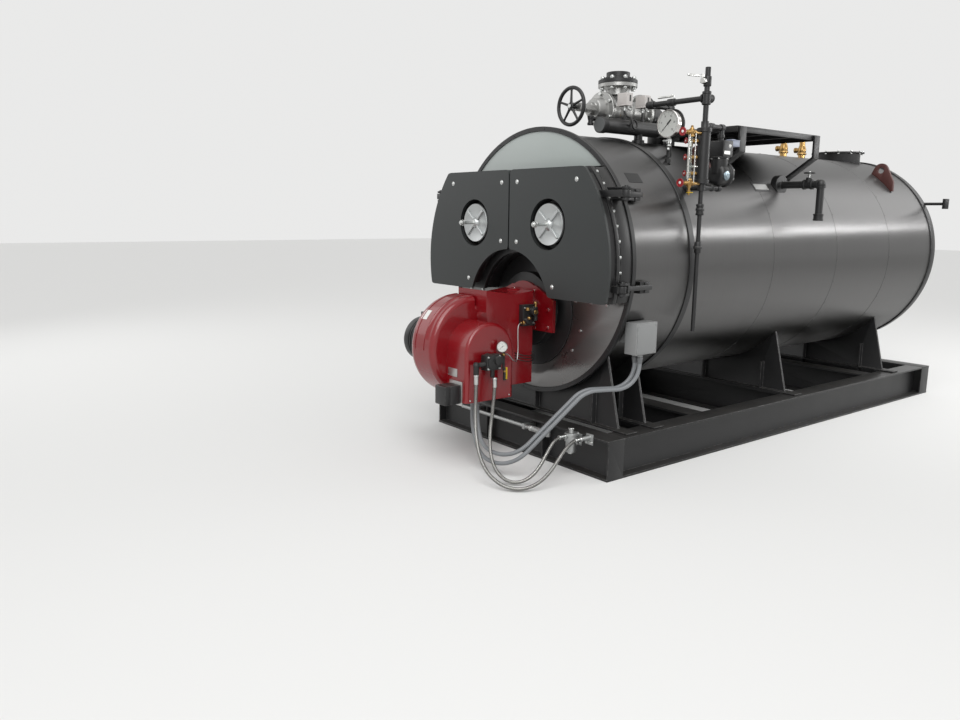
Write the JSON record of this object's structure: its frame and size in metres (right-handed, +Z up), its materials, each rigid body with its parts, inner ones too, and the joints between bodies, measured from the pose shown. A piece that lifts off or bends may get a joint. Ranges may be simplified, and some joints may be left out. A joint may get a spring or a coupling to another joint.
{
  "type": "industrial boiler",
  "caption": "Horizontal fire-tube steam boiler on a steel skid, with an oil burner, hinged smokebox doors, steam valve, water column and service platform.",
  "frame": {"origin": "on the floor, under the middle of the skid", "axes": "+Z up; -Y is the front with the doors and burner; +X is the side with the water column"},
  "size_m": [1.992, 5.131, 2.6353],
  "materials": {
    "stainless": "brushed",
    "black_paint": "satin",
    "charcoal_paint": "satin",
    "silver_paint": "satin",
    "red_paint": "gloss",
    "cast_aluminium": "satin",
    "black_iron": "satin",
    "silver_iron": "satin",
    "galvanised": "matte",
    "braided_steel": "braided",
    "grey_plastic": "matte",
    "grey_enamel": "satin",
    "brass": "satin",
    "boiler_plate": "rough",
    "red_oxide": "matte",
    "glass": "clear",
    "dial_white": "matte"
  },
  "bodies": {
    "boiler": {"front_jacket": "stainless", "girth_band": "black_paint", "main_jacket": "stainless", "rear_ring": "black_paint", "rear_door": "black_paint", "front_ring": "black_paint", "crest_panel": "silver_paint", "door_frame": "black_paint", "smokebox_floor": "boiler_plate", "tube_sheet": "boiler_plate", "front_plate": "stainless", "burner_plate": "black_paint", "burner_flange": "red_paint", "burner_housing": "red_paint", "burner_air_box": "red_paint", "burner_motor": "black_paint", "fuel_pump": "black_iron", "nozzle_block": "brass", "air_actuator": "black_paint", "supply_hose": "braided_steel", "return_hose": "braided_steel", "left_conduit": "grey_plastic", "right_conduit": "grey_plastic", "fuel_filter": "galvanised", "hose_union": "galvanised", "junction_box": "grey_enamel", "left_rail": "black_paint", "right_rail": "black_paint", "front_beam": "black_paint", "rear_beam": "black_paint", "cross_beams": "black_paint", "saddles": "black_paint", "front_pipe": "galvanised", "stack_collar": "black_paint", "lifting_lugs": "red_oxide", "platform_deck": "black_paint", "platform_arms": "black_paint", "safety_valves": "brass", "steam_elbow": "black_iron", "main_valve": "silver_iron", "steam_companion": "black_iron", "control_header": "black_iron", "pressure_controls": "grey_enamel", "steam_gauge": "black_iron", "water_column": "black_iron", "gauge_glass": "brass", "column_pipes": "black_iron", "low_water_control": "black_iron", "feed_pipe": "black_iron", "left_hinges": "black_paint", "right_hinges": "black_paint"},
    "left_door": {"left_door_plate": "black_paint", "left_door_panel": "charcoal_paint", "left_port_cover": "cast_aluminium"},
    "right_door": {"right_door_plate": "black_paint", "right_door_panel": "charcoal_paint", "right_port_cover": "cast_aluminium"},
    "wheel": {"valve_wheel": "black_iron"}
  },
  "joints": [
    {"name": "left_door", "type": "hinge", "parent": "boiler", "child": "left_door", "pos_m": [-0.93, -2.165, 1.475], "axis": [0, 0, -1], "range_deg": [0, 100]},
    {"name": "right_door", "type": "hinge", "parent": "boiler", "child": "right_door", "pos_m": [0.93, -2.165, 1.475], "axis": [0, 0, 1], "range_deg": [0, 100]},
    {"name": "valve_wheel", "type": "hinge", "parent": "boiler", "child": "wheel", "pos_m": [0, -1.726, 2.365], "axis": [0, -1, 0], "range_deg": [0, 1800]}
  ]
}
